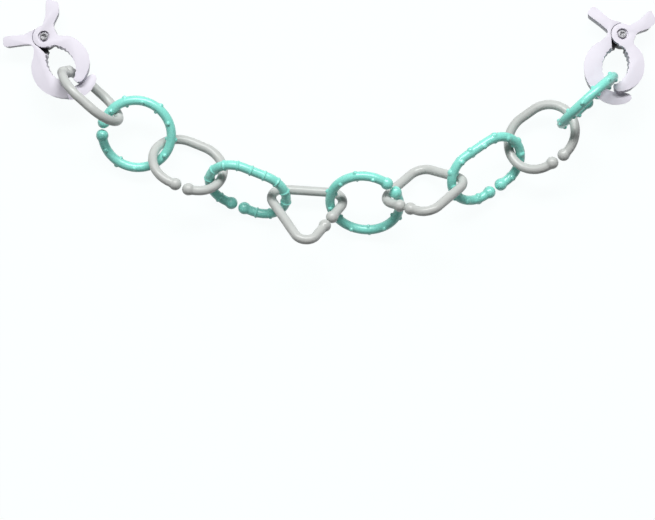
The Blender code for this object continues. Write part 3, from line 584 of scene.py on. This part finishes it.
def clamp_matrix(clamp):
    """The clamp's own frame: its origin on the pivot, its z axis along it."""
    joint = next(joint for joint in frame["joints"] if joint["name"] == clamp["joint"])
    return Matrix.Translation(joint["pos_m"]) @ turned(clamp["turn"], "Z") @ turned(-clamp["tilt"], "X")


def draw_in_underside(shape, draft):
    """Moves the underside's outer rim in by the draft, so that the outer walls lean as moulded ones do."""
    shape.normal_update()
    moves = []
    for vertex in shape.verts:
        place = vertex.co
        from_hole = math.hypot(place.x - HOLE_MIDDLE[0], place.y - HOLE_MIDDLE[1])
        in_hole = from_hole < HOLE_LENGTH / 2 + CLAMP_DRAFT
        if place.z > CLAMP_EDGE or place.xy.length < DRAFT_FREE_RADIUS or in_hole:
            continue
        walls = [face.normal.xy.normalized() for face in vertex.link_faces
                 if abs(face.normal.z) < WALL_NORMAL_LIMIT]
        if walls:
            step = np.linalg.lstsq(np.array(walls), np.full(len(walls), -draft), rcond=None)[0]
            step *= min(1.0, DRAFT_LIMIT_SHARE * draft / np.linalg.norm(step))
            moves.append((vertex, Vector((*step, 0.0))))
    for vertex, step in moves:
        vertex.co += step


def rounded_copy(name, node, matrix, edge, draft):
    """Copy of a CAD node in the clamp's own frame, with its flat faces merged and its edges rounded."""
    mesh = frame["nodes"][node].data.copy()
    mesh.name = name + "_shape"
    mesh.materials.clear()
    mesh.transform(matrix.inverted())
    shape = bmesh.new()
    shape.from_mesh(mesh)
    bmesh.ops.remove_doubles(shape, verts=shape.verts, dist=MERGE_DISTANCE)
    flat = math.radians(FLAT_ANGLE)
    bmesh.ops.dissolve_limit(shape, angle_limit=flat, verts=shape.verts, edges=shape.edges)
    if draft:
        draw_in_underside(shape, draft)
    shape.to_mesh(mesh)
    shape.free()
    piece = add_object(name, mesh, matrix)
    bevel = piece.modifiers.new("edges", "BEVEL")
    bevel.width = edge
    bevel.segments = CLAMP_EDGE_SEGMENTS
    bevel.limit_method = "ANGLE"
    bevel.angle_limit = math.radians(EDGE_ANGLE)
    return piece


def evaluated_mesh(piece):
    """Mesh of an object as its modifiers or its curve settings make it."""
    return bpy.data.meshes.new_from_object(piece.evaluated_get(bpy.context.evaluated_depsgraph_get()))


def settle(piece):
    """Applies a piece's modifiers to its mesh and shades it smooth."""
    mesh = evaluated_mesh(piece)
    piece.modifiers.clear()
    piece.data = mesh
    mesh.shade_smooth()
    mesh.set_sharp_from_angle(angle=math.radians(SMOOTH_ANGLE))


def spring_piece(name, matrix):
    """Torsion spring: a straight leg, the coil, and a straight leg into the other half."""
    radius = SPRING_DIAMETER / 2
    count = round(SPRING_TURNS * SPRING_POINTS_PER_TURN)
    low = CLAMP_THICKNESS / 2 - SPRING_TURNS * SPRING_PITCH / 2
    coil = []
    for i in range(count + 1):
        turn = i / SPRING_POINTS_PER_TURN
        angle = FULL_TURN * turn
        coil.append((radius * cos(angle), radius * sin(angle), low + turn * SPRING_PITCH))
    last = FULL_TURN * SPRING_TURNS
    start, end = coil[0], coil[-1]
    first_leg = (start[0], start[1] - SPRING_LEG_LENGTH, start[2])
    last_leg = (end[0] - SPRING_LEG_LENGTH * sin(last), end[1] + SPRING_LEG_LENGTH * cos(last), end[2])
    curve = bpy.data.curves.new(name + "_line", "CURVE")
    curve.dimensions = "3D"
    curve.bevel_depth = SPRING_WIRE_DIAMETER / 2
    curve.bevel_resolution = SPRING_ROUNDING
    curve.use_fill_caps = True
    spline = curve.splines.new("POLY")
    places = [first_leg] + coil + [last_leg]
    spline.points.add(len(places) - 1)
    for point, place in zip(spline.points, places):
        point.co = (*place, 1.0)
    source = add_object(name + "_curve", curve, matrix)
    mesh = evaluated_mesh(source)
    bpy.data.objects.remove(source, do_unlink=True)
    mesh.shade_smooth()
    return add_object(name, mesh, matrix)


def twist_end(matrix, side):
    """Place on the pivot by the twist reach below the spring's middle, with side -1, or above it, with side
    1.
    """
    return matrix @ Vector((0.0, 0.0, CLAMP_THICKNESS / 2 + side * SPRING_TWIST_REACH))


for clamp in CLAMPS:
    matrix = clamp_matrix(clamp)
    for role, body, material, edge, draft in (
            ("back_jaw", clamp["still"], "clamp_plastic", CLAMP_EDGE, CLAMP_DRAFT),
            ("front_jaw", clamp["moving"], "clamp_plastic", CLAMP_EDGE, CLAMP_DRAFT),
            ("screw", clamp["still"], "screw_steel", FASTENER_EDGE, 0.0),
            ("nut", clamp["still"], "screw_steel", FASTENER_EDGE, 0.0)):
        node = f"{clamp['name']}_{role}"
        piece = rounded_copy(node + "_finished", node, matrix, edge, draft)
        settle(piece)
        piece.data.materials.append(MATERIALS[material])
        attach(piece, body)
        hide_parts(node)
    node = f"{clamp['name']}_spring"
    piece = spring_piece(node + "_finished", matrix)
    piece.data.materials.append(MATERIALS["spring_wire"])
    low_leg, high_leg = (twist_end(matrix, side) for side in (-1, 1))
    tuple(low_leg)
    tuple(high_leg)
    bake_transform(piece)
    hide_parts(node)


# Floor, lights and camera

def floor_material():
    """Matt white that the camera and reflections see mostly as plain white, with the shadows still on it."""
    made, nodes, links, shader = shader_material("floor", FLOOR_COLOUR, FLOOR_ROUGHNESS)
    shader.inputs["Specular IOR Level"].default_value = FLOOR_GLOSS
    path = add_node(nodes, "ShaderNodeLightPath")
    seen = add_node(nodes, "ShaderNodeMath", operation="MAXIMUM")
    links.new(path.outputs["Is Camera Ray"], seen.inputs[0])
    links.new(path.outputs["Is Glossy Ray"], seen.inputs[1])
    part = add_node(nodes, "ShaderNodeMath", operation="MULTIPLY")
    links.new(seen.outputs[0], part.inputs[0])
    part.inputs[1].default_value = FLOOR_GLOW_SHARE
    white = add_node(nodes, "ShaderNodeEmission")
    white.inputs["Color"].default_value = (*FLOOR_GLOW_COLOUR, 1.0)
    white.inputs["Strength"].default_value = FLOOR_GLOW_STRENGTH
    mix = add_node(nodes, "ShaderNodeMixShader")
    links.new(part.outputs[0], mix.inputs[0])
    links.new(shader.outputs[0], mix.inputs[1])
    links.new(white.outputs[0], mix.inputs[2])
    links.new(mix.outputs[0], nodes["Material Output"].inputs["Surface"])
    return made


half = FLOOR_SIZE / 2
floor_corners = [(-half, -half, 0), (half, -half, 0), (half, half, 0), (-half, half, 0)]
floor_mesh = bpy.data.meshes.new("floor_shape")
floor_mesh.from_pydata(floor_corners, [], [(0, 1, 2, 3)])
floor = add_object("floor", floor_mesh)
floor_mesh.materials.append(floor_material())


def add_softbox(name, place, width, height, power):
    data = bpy.data.lights.new(name, "AREA")
    data.shape = "RECTANGLE"
    data.size = width
    data.size_y = height
    data.energy = power
    made = add_object(name, data)
    made.location = place
    made.rotation_euler = (Vector(LIGHT_TARGET) - Vector(place)).to_track_quat("-Z", "Y").to_euler()


for light in LIGHTS:
    add_softbox(**light)

world = bpy.data.worlds.new("world")
world.use_nodes = True
background = world.node_tree.nodes["Background"]
background.inputs["Color"].default_value = (*WORLD_COLOUR, 1.0)
background.inputs["Strength"].default_value = WORLD_STRENGTH
bpy.context.scene.world = world
bpy.context.scene.view_settings.view_transform = "Standard"

camera_data = bpy.data.cameras.new("camera")
camera_data.sensor_width = SENSOR_WIDTH
camera_data.lens = SENSOR_WIDTH * CAMERA_DISTANCE / VIEW_WIDTH
camera_data.clip_end = CAMERA_CLIP_END
camera = add_object("camera", camera_data)
camera.location = (*CAMERA_CENTRE, CHAIN_HEIGHT + CAMERA_DISTANCE)
bpy.context.scene.camera = camera
